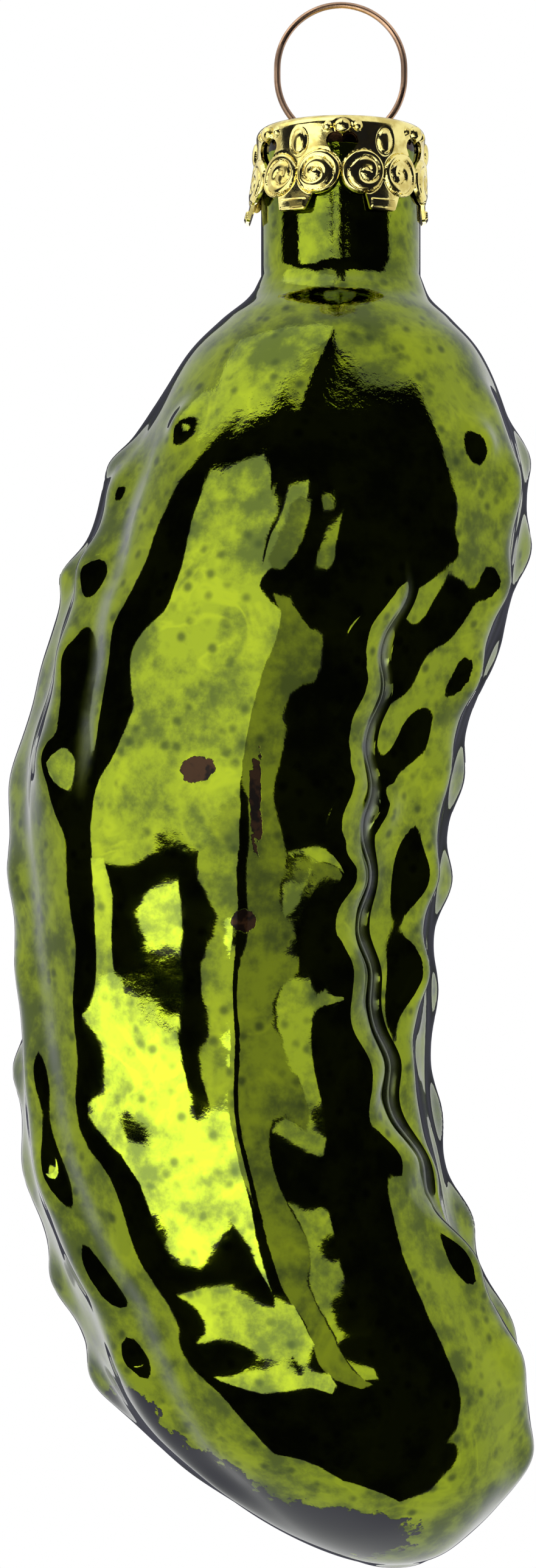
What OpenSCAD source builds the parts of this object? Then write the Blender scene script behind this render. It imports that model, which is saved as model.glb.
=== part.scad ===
// Blown-glass gherkin ornament that hangs by a wire ring in a pressed metal crown cap.
// Millimetres, +Z up. The origin is the hanging point: the inside of the ring at its top.

/* [Hanging ring] */
// Thickness of the spring wire
wire_d = 0.45; // [0.35:0.05:0.6]
// Width across the outside of the ring
ring_w = 9.2; // [8.6:0.1:9.6]
// Straight stretch between the ring's upper and lower arcs
ring_straight = 0.6; // [0.3:0.1:0.9]
// Angle that the ring's lower arcs turn through below the straight stretch
ring_wrap = 66; // [62:1:68]
// Bending radius where a leg turns away from the ring
kink_r = 0.8; // [0.6:0.05:0.9]
// Angle between each leg and the neck's axis
leg_splay = 18; // [14:1:20]

/* [Crown cap] */
// Thickness of the pressed sheet
sheet_t = 0.24; // [0.2:0.02:0.3]
// Depth of the cap from its top to the tips of its tabs
cap_h = 6.4; // [6.1:0.1:6.8]
// Radius of the pressed shoulder round the top
shoulder_r = 0.65; // [0.5:0.05:0.8]
// How far the skirt flares out at the tips of its tabs
skirt_flare = 0.4; // [0.3:0.1:1.0]
// Number of petals round the skirt
petals = 6; // [6:1:6]
// Radius of each pressed volute
volute_r = 1.47; // [1.3:0.01:1.5]
// Height of the pressed ornament above the sheet
relief = 0.22; // [0.14:0.02:0.28]
// Width of each heart-shaped window
heart_w = 2.2; // [1.8:0.1:2.4]
// Width across the end of the tab under each pair of volutes
tab_w = 1.9; // [1.5:0.1:2.2]
// Width of the oval bead pressed above each tab
bead_w = 1.1; // [0.9:0.05:1.3]
// Width of the bead pressed over the top of each window
crest_w = 1.1; // [0.8:0.05:1.2]
// Room for the wire at each side of its slot
slot_gap = 0.14; // [0.08:0.02:0.2]

/* [Glass] */
// Outside diameter of the neck
neck_d = 11; // [10.8:0.1:11.4]
// Length of the neck from its mouth to the shoulder
neck_len = 10.4; // [10:0.2:12]
// Thickness of the glass
glass_t = 0.8; // [0.6:0.05:0.9]
// Running gap between the neck and the cap
cap_gap = 0.08; // [0.05:0.01:0.12]
// Length of the gherkin below the neck
body_len = 88.2; // [80:1:96]
// Radius of the gherkin where it is fullest
body_r = 15.2; // [14:0.1:16]
// How far the gherkin bows away from the neck's axis
body_bow = 8.1; // [5:0.1:9]
// Depth of the gherkin front to back, as a share of its width
body_depth_share = 0.97; // [0.9:0.01:1]
// Height of the knobs along each rib
knob_h = 0.9; // [0.4:0.05:1]
// Height of the ribs that carry the knobs
rib_h = 0.5; // [0.2:0.05:0.6]
// Depth of the furrows beside the ribs
furrow_depth = 0.8; // [0.4:0.05:0.9]
// Height of the mould seam
seam_h = 0.22; // [0.1:0.02:0.3]
// Height of the single knobs between the ribs
lone_knob_h = 0.7; // [0.3:0.05:0.9]

/* [Hidden] */

// Overrun of every cut past the face that it opens
overrun = 0.5;
// Facets of the round shapes that OpenSCAD draws
$fn = 96;

// Hanging ring
wire_r = wire_d / 2;
ring_r = ring_w / 2 - wire_r;
ring_top_z = wire_r - ring_r;
ring_low_z = ring_top_z - ring_straight;
wrap_end_x = ring_r * cos(ring_wrap);
wrap_end_z = ring_low_z - ring_r * sin(ring_wrap);
// The kink turns about a centre outside the ring, and its leg leaves at leg_splay
kink_x = wrap_end_x + kink_r * cos(ring_wrap);
kink_z = wrap_end_z - kink_r * sin(ring_wrap);
kink_from = 180 - ring_wrap;
kink_turn = ring_wrap + leg_splay;
leg_top_x = kink_x + kink_r * cos(kink_from + kink_turn);
leg_top_z = kink_z + kink_r * sin(kink_from + kink_turn);
// A ball a little over the wire's size closes the join of two of its stretches
join_r = wire_r * 1.03;

// Crown cap
cap_skin_above_kink = 0.3;
cap_top_z = wrap_end_z + cap_skin_above_kink;
cap_under_z = cap_top_z - sheet_t;
neck_r = neck_d / 2;
cap_inner_r = neck_r + cap_gap;
cap_wall_r = cap_inner_r + sheet_t;
cap_top_r = cap_wall_r - shoulder_r;
cap_low_z = cap_top_z - cap_h;
petal_turn = 360 / petals;
volute_turn = petal_turn / 4;
volute_z = cap_top_z - 0.605 * cap_h;
heart_z = cap_top_z - 0.36 * cap_h;
heart_h = heart_w * 0.98;
bead_z = cap_top_z - 0.27 * cap_h;
bead_h = bead_w * 1.5;
crest_z = cap_top_z - 0.135 * cap_h;
crest_side_w = crest_w * 0.5;
crest_side_turn = petal_turn * 0.17;
bead_steps = 8;
// Outside of the skirt: share of the depth, then share of the flare
skirt_shares = [[0.35, 0.02], [0.6, 0.22], [0.8, 0.55], [1, 1]];
shoulder_steps = 6;
// A volute's line: its turns, its width as a share of the radius, its inset from the cut edge
volute_winds = 1.85;
volute_line_share = 0.27;
volute_inset = 0.09;
volute_steps = 26;
// The tab widens upwards, and carries a raised bar
tab_root_w = tab_w * 1.38;
tab_bar_h = 0.09 * cap_h;
// Cuts and pressed lines start at this radius, so that no two of them meet
cut_from_r = 0.8 * neck_d / 2;
pressed_from_r = neck_d / 2 + cap_gap + 0.6 * sheet_t;
slot_w = wire_d + 2 * slot_gap;
slot_from = wrap_end_x - wire_r - slot_gap;
slot_to = ring_r + wire_r + slot_gap;

// Glass
mouth_gap = 0.04;
mouth_z = cap_under_z - mouth_gap;
bore_r = neck_r - glass_t;
neck_base_z = mouth_z - neck_len;
neck_lap = 0.4;
tip_z = neck_base_z - body_len;
// The leg runs down to the bore with this room to spare
leg_gap = 0.2;
leg_tip_x = bore_r - wire_r - leg_gap;
leg_len = (leg_tip_x - leg_top_x) / sin(leg_splay);

// Outline of the gherkin from its shoulder to its tip:
// share of body_len, share of body_bow, share of body_r
outline_shares = [
    [0.000, 0.00, 0.375], [0.013, -0.02, 0.425], [0.030, -0.04, 0.535],
    [0.056, -0.06, 0.670], [0.100, -0.10, 0.800], [0.150, -0.17, 0.915],
    [0.205, -0.31, 0.965], [0.262, -0.50, 0.995], [0.320, -0.70, 0.975],
    [0.380, -0.89, 0.980], [0.440, -0.94, 0.960], [0.500, -0.975, 0.930],
    [0.560, -0.98, 0.915], [0.620, -0.97, 0.910], [0.680, -0.90, 0.925],
    [0.740, -0.72, 0.930], [0.795, -0.46, 0.940], [0.845, -0.25, 0.940],
    [0.885, -0.09, 0.870], [0.920, 0.10, 0.745], [0.950, 0.22, 0.585],
    [0.975, 0.33, 0.400], [0.992, 0.42, 0.210], [1.000, 0.46, 0]
];
outline_last = len(outline_shares) - 1;
// The gherkin's top edge follows the neck over this share of the length
top_edge_r = neck_r * 1.0364;
top_blend_share = 0.06;

// The deep furrow's crease: share of the length, angle from the front
crease_turns = [
    [0.20, 29], [0.24, 30.5], [0.30, 32.5], [0.35, 36.3], [0.40, 38.8], [0.45, 41.5], [0.50, 43],
    [0.54, 46.5], [0.60, 53.5], [0.635, 57], [0.70, 65.5], [0.74, 75], [0.79, 84], [0.86, 90]
];
// The winding rib runs this angle in front of the crease
main_furrow_turn = 7.5;
main_rib_turns = [for (p = crease_turns) [p[0], p[1] - main_furrow_turn]];
// Ribs: [share of the length, angle from the front] stations, knobs per length, phase, furrow's angle
// from the rib, furrow's depth as a share, rib's height, half turn of its far flank, knobs' height,
// shares of the length where it starts and ends
rib_shares = [
    [main_rib_turns, 14.3, 0.42, main_furrow_turn, 1, 0.5, 30, 0.25, 0.205, 0.9],
    [[[0, 63], [0.46, 67], [0.585, 63], [0.664, 66], [1, 77]], 13.5, 0.79, 13, 0.25, 1, 9, 0.7, 0.07, 0.9],
    [[[0, 98], [1, 98]], 11.5, 0.60, 14, 0.25, 1, 9, 1, 0.07, 0.9],
    [[[0, 124], [1, 132]], 12, 0.20, 14, 0.2, 1, 9, 1, 0.07, 0.9],
    [[[0, 161], [1, 155]], 12.6, 0.75, 15, 0.6, 1, 9, 1, 0.07, 0.9],
    [[[0, 189], [1, 195]], 11.2, 0.10, 13, 0.2, 1, 9, 1, 0.07, 0.9],
    [[[0, 222], [1, 214]], 12.2, 0.50, 14, 0.3, 1, 9, 1, 0.07, 0.9],
    [[[0, -115], [0.5, -112], [0.62, -98], [0.72, -90], [1, -88]],
        12.4, 0.35, -13, 0.25, 1, 9, 1, 0.07, 0.9],
    [[[0, -90], [0.384, -88], [0.53, -76], [0.709, -61], [0.78, -54], [1, -54]],
        12.9, 0.06, 14, 0.25, 1, 9, 0.4, 0.07, 0.9],
    [[[0.1, -78], [0.223, -70], [0.298, -64], [0.368, -58], [0.42, -54]],
        13.8, 0.92, 14, 0.45, 1, 9, 0.75, 0.1, 0.38]
];
// Each rib fades in and out over this share of the length
fade_share = 0.08;
// Each knob pushes its furrow this angle aside
knob_push = 3.2;
knob_uneven = 0.35;
rib_half_turn = 7.5;
knob_half_turn = 6.5;
// Turns over which a furrow's walls ease out: towards its rib, its steep far wall, the rise behind that
furrow_near_turn = 10.5;
furrow_far_turn = 2.2;
furrow_rise_turn = 22;
furrow_far_share = 0.4;
furrow_power = 1.15;
// Rounding of a furrow's bottom, from a vanishing furrow to a full one
furrow_round_turns = [[0, 5], [1, 0.35]];
// Single knobs: share of the length, angle from the front, height share
lone_knob_shares = [
    [0.115, -49, 1], [0.131, 50, 1], [0.409, 44, 0.8], [0.826, -53, 0.7],
    [0.551, 35.5, 0.4], [0.618, 42, 0.5], [0.240, 120, 0.9], [0.450, 178, 0.8],
    [0.620, -155, 0.8], [0.760, 140, 0.7], [0.160, -120, 0.9], [0.345, -178, 0.6]
];
lone_knob_half_len_share = 0.016;
lone_knob_half_turn = 5.5;
// The seams rise from the shoulder and fade towards the tip over these shares of the length
rib_start_shares = [0.07, 0.17];
rib_end_shares = [0.85, 0.95];
// Angle of the front mould seam down the length
seam_shares = [[0, -14], [0.13, -14], [0.25, -9], [0.36, 0], [0.6, 3], [1, 4]];
seam_half_turn = 16;

// Rings and sides of the glass wall's mesh
outer_rings = 86;
inner_rings = 14;
sides = 64;
// The sides crowd towards the crease and follow its way. They leave this angle for it
crease_home = 45;
crowding = 0.5;

// Smooth curve through a table's column, by its row number
function row_slope(rows, i, col) =
    i == 0 ? (rows[1][col] - rows[0][col])
    : i == len(rows) - 1 ? (col == 2 ? -2 * rows[i - 1][col] : 0)
    : (rows[i + 1][col] - rows[i - 1][col]) / 2;
function along(rows, at, col) =
    let (i = min(floor(at), len(rows) - 2), u = at - i,
         a = rows[i][col], b = rows[i + 1][col],
         sa = row_slope(rows, i, col), sb = row_slope(rows, i + 1, col))
    (2 * u * u * u - 3 * u * u + 1) * a + (u * u * u - 2 * u * u + u) * sa
    + (3 * u * u - 2 * u * u * u) * b + (u * u * u - u * u) * sb;

function ease(u) = let (v = max(0, min(1, u))) v * v * (3 - 2 * v);
function bell(u) = exp(-u * u);
function turned(a) = a - 360 * round(a / 360);

// Share of the seams that shows at a share of the length
function relief_at(s) =
    ease((s - rib_start_shares[0]) / (rib_start_shares[1] - rib_start_shares[0]))
    * (1 - ease((s - rib_end_shares[0]) / (rib_end_shares[1] - rib_end_shares[0])));
function knob_wave(rib, s) = pow(0.5 + 0.5 * cos(360 * (rib[1] * s + rib[2])), 1.2);
// 1 between two shares of the length, fading in after the first and out before the last
function spanned(s, start, end) = ease((s - start) / fade_share) * (1 - ease((s - end) / fade_share));
// Depth of a furrow as a share, at an angle past its bottom
function furrow_wall(reach, wall_turn) = pow(max(0, 1 - reach / wall_turn), furrow_power);
function furrow_at(past, depth_share) =
    let (round_turn = lookup(depth_share, furrow_round_turns),
         reach = sqrt(past * past + round_turn * round_turn) - round_turn)
    past < 0 ? furrow_wall(reach, furrow_near_turn)
    : furrow_far_share * furrow_wall(reach, furrow_far_turn)
        + (1 - furrow_far_share) * furrow_wall(reach, furrow_rise_turn);
function rib_height(rib, s, turn) =
    let (wave = knob_wave(rib, s),
         off = sign(rib[3]) * turned(turn - lookup(s, rib[0])) - knob_push * rib[4] * (wave - 0.5),
         size = 0.8 + knob_uneven * cos(360 * (0.31 * rib[1] * s + 2.3 * rib[2])))
    spanned(s, rib[8], rib[9]) * (
        rib_h * rib[5] * bell(off / (off > 0 ? rib_half_turn : rib[6]))
        + knob_h * rib[7] * size * wave * bell(off / knob_half_turn)
        - furrow_depth * rib[4] * furrow_at(off - abs(rib[3]), rib[4]));
function lone_height(knob, s, turn) =
    lone_knob_h * knob[2] * bell((s - knob[0]) / lone_knob_half_len_share)
    * bell(turned(turn - knob[1]) / lone_knob_half_turn);
function total(list, i = 0) = i == len(list) ? 0 : list[i] + total(list, i + 1);
function seam_turn(s) = lookup(s, seam_shares);
function seam_height(s, turn) =
    let (front = abs(turned(turn - seam_turn(s))), back = 180 - abs(turned(turn)))
    seam_h * (max(0, 1 - front / seam_half_turn) + max(0, 1 - back / seam_half_turn));
// Height of everything moulded on the gherkin above its plain outline
function moulded(s, turn) =
    total([for (rib = rib_shares) rib_height(rib, s, turn)])
    + relief_at(s) * seam_height(s, turn)
    + (s < rib_end_shares[1]
       ? total([for (knob = lone_knob_shares) lone_height(knob, s, turn)]) : 0);

// One point of the wall: row number in the outline, angle from the front, height above the outline,
// and the length that the outline is stretched over
function wall_point(at, turn, height, length) =
    let (s = along(outline_shares, at, 0), r = max(0, plain_r(at, s) + height))
    [along(outline_shares, at, 1) * body_bow + r * sin(turn),
     -r * body_depth(s) * cos(turn),
     neck_base_z - length * s];
function plain_r(at, s) =
    along(outline_shares, at, 2) * body_r
    + (top_edge_r - outline_shares[0][2] * body_r) * (1 - ease(s / top_blend_share));
// The section is round at the neck and a little flatter along the gherkin
function body_depth(s) = 1 - (1 - body_depth_share) * ease(s / rib_start_shares[1]);
function wall_t(s) = glass_t + 0.45 * furrow_depth * ease(s / rib_start_shares[0]);

// Angle from the front of a side of the mesh at a share of the length
function side_turn(s, j) =
    let (v = turned(360 * j / sides), base = v - crowding * 180 / PI * sin(v),
         way = lookup(s, crease_turns) + knob_push * (knob_wave(rib_shares[0], s) - 0.5),
         follows = 1 - ease((abs(base) - 12) / 90))
    base + crease_home + (way - crease_home) * follows;
function outer_ring(i) =
    let (at = outline_last * i / outer_rings, s = along(outline_shares, at, 0))
    [for (j = [0:sides - 1]) let (turn = side_turn(s, j))
        wall_point(at, turn, moulded(s, turn), body_len)];
function inner_ring(i) =
    let (at = outline_last * (1 - i / inner_rings), s = along(outline_shares, at, 0))
    [for (j = [0:sides - 1]) wall_point(at, side_turn(s, j), -wall_t(s), body_len - wall_t(1))];

// Rings from the neck down the outside to the tip, then up the inside to the neck again
module wall() {
    outside = [for (i = [0:outer_rings - 1]) outer_ring(i)];
    inside = [for (i = [1:inner_rings]) inner_ring(i)];
    tip_out = wall_point(outline_last, 0, 0, body_len);
    tip_in = wall_point(outline_last, 0, 0, body_len - wall_t(1));
    rings = concat(outside, inside);
    points = concat([for (ring = rings) each ring], [tip_out, tip_in]);
    out_end = outer_rings - 1;
    in_start = outer_rings;
    last = len(rings) - 1;
    tip_out_at = len(points) - 2;
    tip_in_at = len(points) - 1;
    function at(ring, side) = ring * sides + side % sides;
    faces = [
        for (i = [0:last]) if (i != out_end) let (next = i == last ? 0 : i + 1)
            for (j = [0:sides - 1]) each [
                [at(i, j), at(i, j + 1), at(next, j)],
                [at(i, j + 1), at(next, j + 1), at(next, j)]],
        for (j = [0:sides - 1]) each [
            [at(out_end, j), at(out_end, j + 1), tip_out_at],
            [at(in_start, j), tip_in_at, at(in_start, j + 1)]]
    ];
    polyhedron(points = points, faces = faces);
}

module neck() {
    lip_r = glass_t / 2;
    rotate_extrude() union() {
        translate([bore_r, neck_base_z - neck_lap])
            square([glass_t, neck_len + neck_lap - lip_r]);
        translate([bore_r + lip_r, mouth_z - lip_r]) circle(r = lip_r);
    }
}

// Hollow blown glass: the straight neck with its fire-rounded mouth, and the moulded gherkin
module glass_gherkin() {
    color([0.45, 0.55, 0.10]) union() {
        neck();
        wall();
    }
}

// A stretch of the wire bent to an arc in the XZ plane
module wire_arc(x, z, r, from, turn) {
    translate([x, 0, z]) rotate([90, 0, 0]) rotate([0, 0, from])
        rotate_extrude(angle = turn) translate([r, 0]) circle(r = wire_r);
}

module wire_join(x, z) {
    translate([x, 0, z]) sphere(r = join_r);
}

// The half of the wire on the +X side
module wire_side() {
    wire_join(ring_r, ring_top_z);
    translate([ring_r, 0, ring_low_z]) cylinder(r = wire_r, h = ring_straight);
    wire_join(ring_r, ring_low_z);
    wire_arc(0, ring_low_z, ring_r, -ring_wrap, ring_wrap);
    wire_join(wrap_end_x, wrap_end_z);
    wire_arc(kink_x, kink_z, kink_r, kink_from, kink_turn);
    wire_join(leg_top_x, leg_top_z);
    translate([leg_top_x, 0, leg_top_z]) rotate([0, 180 - leg_splay, 0]) {
        cylinder(r = wire_r, h = leg_len);
        translate([0, 0, leg_len]) sphere(r = wire_r);
    }
}

// Spring wire: the ring above the cap and its two legs that grip the inside of the neck
module hanger_wire() {
    color([0.62, 0.48, 0.34]) union() {
        wire_arc(0, ring_top_z, ring_r, 0, 180);
        wire_side();
        mirror([1, 0, 0]) wire_side();
    }
}

// Points of the skirt's section at a distance out from its outer face
function skirt(out) = [for (p = skirt_shares)
    [cap_wall_r + out + skirt_flare * p[1], cap_top_z - cap_h * p[0]]];
function shoulder(r) = [for (i = [0:shoulder_steps]) let (a = 90 - 90 * i / shoulder_steps)
    [cap_top_r + r * cos(a), cap_top_z - shoulder_r + r * sin(a)]];
function reversed(list) = [for (i = [len(list) - 1:-1:0]) list[i]];

module sheet_section() {
    polygon(concat(
        [[0, cap_under_z], [0, cap_top_z]], shoulder(shoulder_r), skirt(0),
        reversed(skirt(-sheet_t)), reversed(shoulder(shoulder_r - sheet_t))));
}

// From the middle of the skirt's sheet to the crown of what is pressed on it
module pressed_section() {
    polygon(concat(skirt(relief), reversed(skirt(-sheet_t / 2))));
}

// An outline seen square on, carried out through the skirt at one bearing
module through_skirt(turn, from_r) {
    reach = cap_wall_r + skirt_flare + overrun;
    rotate([0, 0, turn]) rotate([90, 0, 0]) translate([0, 0, from_r])
        linear_extrude(height = reach - from_r) children();
}

function bearing_x(turn) = cap_wall_r * sin(turn);

module heart() {
    lobe_r = heart_w * 0.27;
    lobe_x = heart_w / 2 - lobe_r;
    lobe_z = heart_z + heart_h / 2 - lobe_r;
    for (side = [-1, 1]) translate([side * lobe_x, lobe_z]) circle(r = lobe_r);
    polygon([
        [-heart_w / 2, lobe_z], [heart_w / 2, lobe_z],
        [heart_w * 0.36, heart_z], [0, heart_z - heart_h / 2], [-heart_w * 0.36, heart_z]]);
}

// What is trimmed away under one window, between the volutes and the tabs
module hem_gap() {
    volute_x = bearing_x(volute_turn);
    root_z = volute_z - volute_r * 0.85;
    low_z = cap_low_z - overrun;
    mid_x = bearing_x(petal_turn / 2);
    root_x = mid_x - tab_root_w / 2 * cos(petal_turn / 2);
    end_x = mid_x - tab_w / 2 * cos(petal_turn / 2);
    difference() {
        polygon([
            [-volute_x, volute_z], [volute_x, volute_z], [volute_x, root_z], [root_x, root_z],
            [end_x, cap_low_z], [end_x, low_z], [-end_x, low_z], [-end_x, cap_low_z],
            [-root_x, root_z], [-volute_x, root_z]]);
        for (side = [-1, 1]) translate([side * volute_x, volute_z]) circle(r = volute_r);
    }
}

// A rolled line that starts by the tab, passes under the volute and winds in to its middle
module volute_line(side) {
    line = volute_r * volute_line_share;
    outer = volute_r - volute_inset - line / 2;
    inner = line * 0.55;
    function spot(u, out) =
        let (r = outer + (inner - outer) * pow(u, 0.9) + out * line / 2 * (1 - 0.4 * u),
             a = 90 - side * (150 + 360 * volute_winds * u))
        [r * cos(a), r * sin(a)];
    polygon(concat([for (i = [0:volute_steps]) spot(i / volute_steps, 1)],
                   [for (i = [volute_steps:-1:0]) spot(i / volute_steps, -1)]));
}

module tab_bar() {
    low_z = cap_low_z + tab_bar_h * 0.4;
    top_z = low_z + tab_bar_h;
    polygon([[-tab_w * 0.42, low_z], [tab_w * 0.42, low_z], [tab_w * 0.48, top_z], [-tab_w * 0.48, top_z]]);
}

module pressed_lines() {
    intersection() {
        rotate_extrude() pressed_section();
        union() {
            for (k = [0:petals - 1]) {
                for (side = [-1, 1]) through_skirt(petal_turn * k + side * volute_turn, pressed_from_r)
                    translate([0, volute_z]) volute_line(side);
                through_skirt(petal_turn * (k + 0.5), pressed_from_r) tab_bar();
            }
        }
    }
}

// A boss pressed out of the skirt at a bearing and height, from the middle of its sheet outwards
module bead(turn, z, w, h) {
    rotate([0, 0, turn]) translate([0, -(cap_wall_r - sheet_t / 2), z])
        rotate([0, 0, 180]) rotate_extrude(angle = 180)
            polygon([for (i = [0:bead_steps]) let (a = 180 * i / bead_steps - 90)
                [w / 2 * cos(a), h / 2 * sin(a)]]);
}

module beads() {
    for (k = [0:petals - 1]) {
        bead(petal_turn * (k + 0.5), bead_z, bead_w, bead_h);
        bead(petal_turn * k, crest_z, crest_w, crest_w);
        for (side = [-1, 1])
            bead(petal_turn * k + side * crest_side_turn, crest_z, crest_side_w, crest_side_w);
    }
}

module slots() {
    for (side = [-1, 1]) translate([side > 0 ? slot_from : -slot_to, -slot_w / 2, cap_under_z - overrun])
        cube([slot_to - slot_from, slot_w, sheet_t + 2 * overrun]);
}

// Pressed sheet: top with two wire slots, rolled shoulder, and a skirt of petals
module crown_cap() {
    color([0.80, 0.68, 0.30]) union() {
        difference() {
            rotate_extrude() sheet_section();
            for (k = [0:petals - 1]) through_skirt(petal_turn * k, cut_from_r) {
                heart();
                hem_gap();
            }
            slots();
        }
        pressed_lines();
        beads();
    }
}

hanger_wire();
crown_cap();
glass_gherkin();
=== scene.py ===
"""Blown-glass gherkin ornament: silvered glass under green lacquer, a pressed crown cap and a wire ring.

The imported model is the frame. The glass, the cap and the wire are rebuilt here at a finer grain, in the
same place and size, and get their finishes. Lengths in the sections below are in millimetres.
"""

import math

import bpy
import numpy as np
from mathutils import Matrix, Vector
from mathutils.geometry import delaunay_2d_cdt


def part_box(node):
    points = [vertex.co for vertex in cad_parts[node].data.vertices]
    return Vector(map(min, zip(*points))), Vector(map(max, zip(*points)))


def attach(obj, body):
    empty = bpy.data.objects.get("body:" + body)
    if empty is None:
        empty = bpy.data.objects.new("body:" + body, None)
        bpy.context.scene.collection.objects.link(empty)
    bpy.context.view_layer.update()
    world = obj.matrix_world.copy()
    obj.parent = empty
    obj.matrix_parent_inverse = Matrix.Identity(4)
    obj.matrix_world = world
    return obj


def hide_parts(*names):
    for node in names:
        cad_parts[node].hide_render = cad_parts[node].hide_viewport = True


MM = 0.001
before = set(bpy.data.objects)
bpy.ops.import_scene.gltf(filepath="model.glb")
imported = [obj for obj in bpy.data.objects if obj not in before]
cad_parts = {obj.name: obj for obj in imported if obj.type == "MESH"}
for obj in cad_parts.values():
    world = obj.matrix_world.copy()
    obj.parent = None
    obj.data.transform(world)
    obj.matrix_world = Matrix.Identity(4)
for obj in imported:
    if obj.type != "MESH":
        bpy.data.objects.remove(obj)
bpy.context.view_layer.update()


def node_box(node):
    """Lowest and highest corner of a CAD node, in millimetres."""
    low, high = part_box(node)
    return np.array(low) / MM, np.array(high) / MM


wire_low, wire_high = node_box("hanger_wire")
cap_low, cap_high = node_box("crown_cap")
glass_low, glass_high = node_box("glass_gherkin")
cap_depth = cap_high[2] - cap_low[2]

# Camera
PHOTO_HEIGHT_PX = 2576
MM_PER_PX = 0.042
# Middle of the photograph's frame, in X and Z
PHOTO_CENTRE = (-5.02, -53.51)
CAMERA_DISTANCE = 218.0
SENSOR = 36.0
# Nearest and furthest that the camera sees, in metres
CAMERA_REACH = (0.01, 20)
FLOOR_DROP = 1600
FLOOR_HALF_SIZE = 9000

# Neck and wall of the glass
NECK_R = 5.5
NECK_LEN = 10.4
GLASS_T = 0.8
NECK_FILLET = 0.6
# The lacquer stops this far below the mouth, under the cap
BARE_MOUTH = 1.6
# The hollow keeps this many walls inside the plain outline and ends this many above the tip
HOLLOW_INSET_WALLS = 1.8
HOLLOW_TIP_WALLS = 2
HOLLOW_FLOOR_DROP = 0.3
BORE_FOOT = 0.6

# Gherkin below the neck. A place on it is a share of its length and degrees round from the front.
BODY_BOW = 8.1
BODY_R = 15.2
BODY_DEPTH_SHARE = 0.97
KNOB_H = 0.9
RIB_H = 0.5
FURROW_DEPTH = 0.8
SEAM_H = 0.22
LONE_KNOB_H = 0.7
RIPPLE_H = 0.05
# Where the plain radius is less than this, near the tip, the relief dies away with it
RELIEF_FULL_R = 2

# Outline from the shoulder to the tip: share of the length, share of the bow, share of the radius
OUTLINE_SHARES = (
    (0.000, 0.00, 0.375), (0.013, -0.02, 0.425), (0.030, -0.04, 0.535),
    (0.056, -0.06, 0.670), (0.100, -0.10, 0.800), (0.150, -0.17, 0.915),
    (0.205, -0.31, 0.965), (0.262, -0.50, 0.995), (0.320, -0.70, 0.975),
    (0.380, -0.89, 0.980), (0.440, -0.94, 0.960), (0.500, -0.975, 0.930),
    (0.560, -0.98, 0.915), (0.620, -0.97, 0.910), (0.680, -0.90, 0.925),
    (0.740, -0.72, 0.930), (0.795, -0.46, 0.940), (0.845, -0.25, 0.940),
    (0.885, -0.09, 0.870), (0.920, 0.10, 0.745), (0.950, 0.22, 0.585),
    (0.975, 0.33, 0.400), (0.992, 0.42, 0.210), (1.000, 0.46, 0.0),
)

# Deep crease beside the main rib: its places
CREASE_STATIONS = (
    (0.20, 29), (0.24, 30.5), (0.30, 32.5), (0.35, 36.3), (0.40, 38.8), (0.45, 41.5), (0.50, 43),
    (0.54, 46.5), (0.60, 53.5), (0.635, 57), (0.70, 65.5), (0.74, 75), (0.79, 84), (0.86, 90),
)
# The main rib winds this many degrees in front of the crease
MAIN_FURROW_TURN = 7.5
MAIN_RIB_STATIONS = tuple((share, turn - MAIN_FURROW_TURN) for share, turn in CREASE_STATIONS)
# What the ribs round the side and back share, from the rib's height on
BACK_RIB = (1.0, 9, 1.0, 0.07, 0.9)
# Ribs: places, knobs per length, phase, furrow's degrees from the rib, furrow's depth as a share,
# rib's height as a share, half turn of its far flank, knobs' height as a share, shares of the length
# where it starts and ends
RIBS = (
    (MAIN_RIB_STATIONS, 14.3, 0.42, MAIN_FURROW_TURN, 1.0, 0.5, 30, 0.4, 0.205, 0.90),
    (((0.0, 63), (0.46, 67), (0.585, 63), (0.664, 66), (1.0, 77)),
     13.5, 0.79, 13, 0.25, 1.0, 9, 0.7, 0.07, 0.9),
    (((0.0, 98), (1.0, 98)), 11.5, 0.60, 14, 0.25, *BACK_RIB),
    (((0.0, 124), (1.0, 132)), 12.0, 0.20, 14, 0.2, *BACK_RIB),
    (((0.0, 161), (1.0, 155)), 12.6, 0.75, 15, 0.6, *BACK_RIB),
    (((0.0, 189), (1.0, 195)), 11.2, 0.10, 13, 0.2, *BACK_RIB),
    (((0.0, 222), (1.0, 214)), 12.2, 0.50, 14, 0.3, *BACK_RIB),
    (((0.0, -115), (0.5, -112), (0.62, -98), (0.72, -90), (1.0, -88)), 12.4, 0.35, -13, 0.25, *BACK_RIB),
    (((0.0, -90), (0.384, -88), (0.53, -76), (0.709, -61), (0.78, -54), (1.0, -54)),
     12.9, 0.06, 14, 0.25, 1.0, 9, 0.3, 0.07, 0.9),
    (((0.1, -78), (0.223, -70), (0.298, -64), (0.368, -58), (0.42, -54)),
     13.8, 0.92, 14, 0.45, 1.0, 9, 0.75, 0.1, 0.35),
)
# Each rib fades in and out over this share of the length
FADE_SHARE = 0.08
# Each knob pushes its rib and furrow this many degrees aside
KNOB_PUSH = 3.2
KNOB_SHARPNESS = 1.2
# Knob size along a rib: middle, swing, and the swing's pace and phase beside the knobs'
KNOB_SIZE = 0.8
KNOB_UNEVEN = 0.35
KNOB_UNEVEN_PACE = 0.31
KNOB_UNEVEN_PHASE = 2.3
RIB_HALF_TURN = 7.5
KNOB_HALF_TURN = 6.5
# Turns over which a furrow eases out: near wall, steep far wall and the rise behind it
FURROW_NEAR_TURN = 12
FURROW_FAR_TURN = 2.2
FURROW_RISE_TURN = 22
FURROW_FAR_SHARE = 0.4
FURROW_POWER = 1.15
# Rounding of a furrow's bottom, for a full furrow and for a vanishing one
FURROW_ROUND_TURNS = (0.35, 5.0)
# Half width of the painted sheen, a grey reflection painted along a furrow, for a vanishing furrow and for a
# full one
PAINTED_SHEEN_TURNS = (5.0, 1.7)
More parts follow.
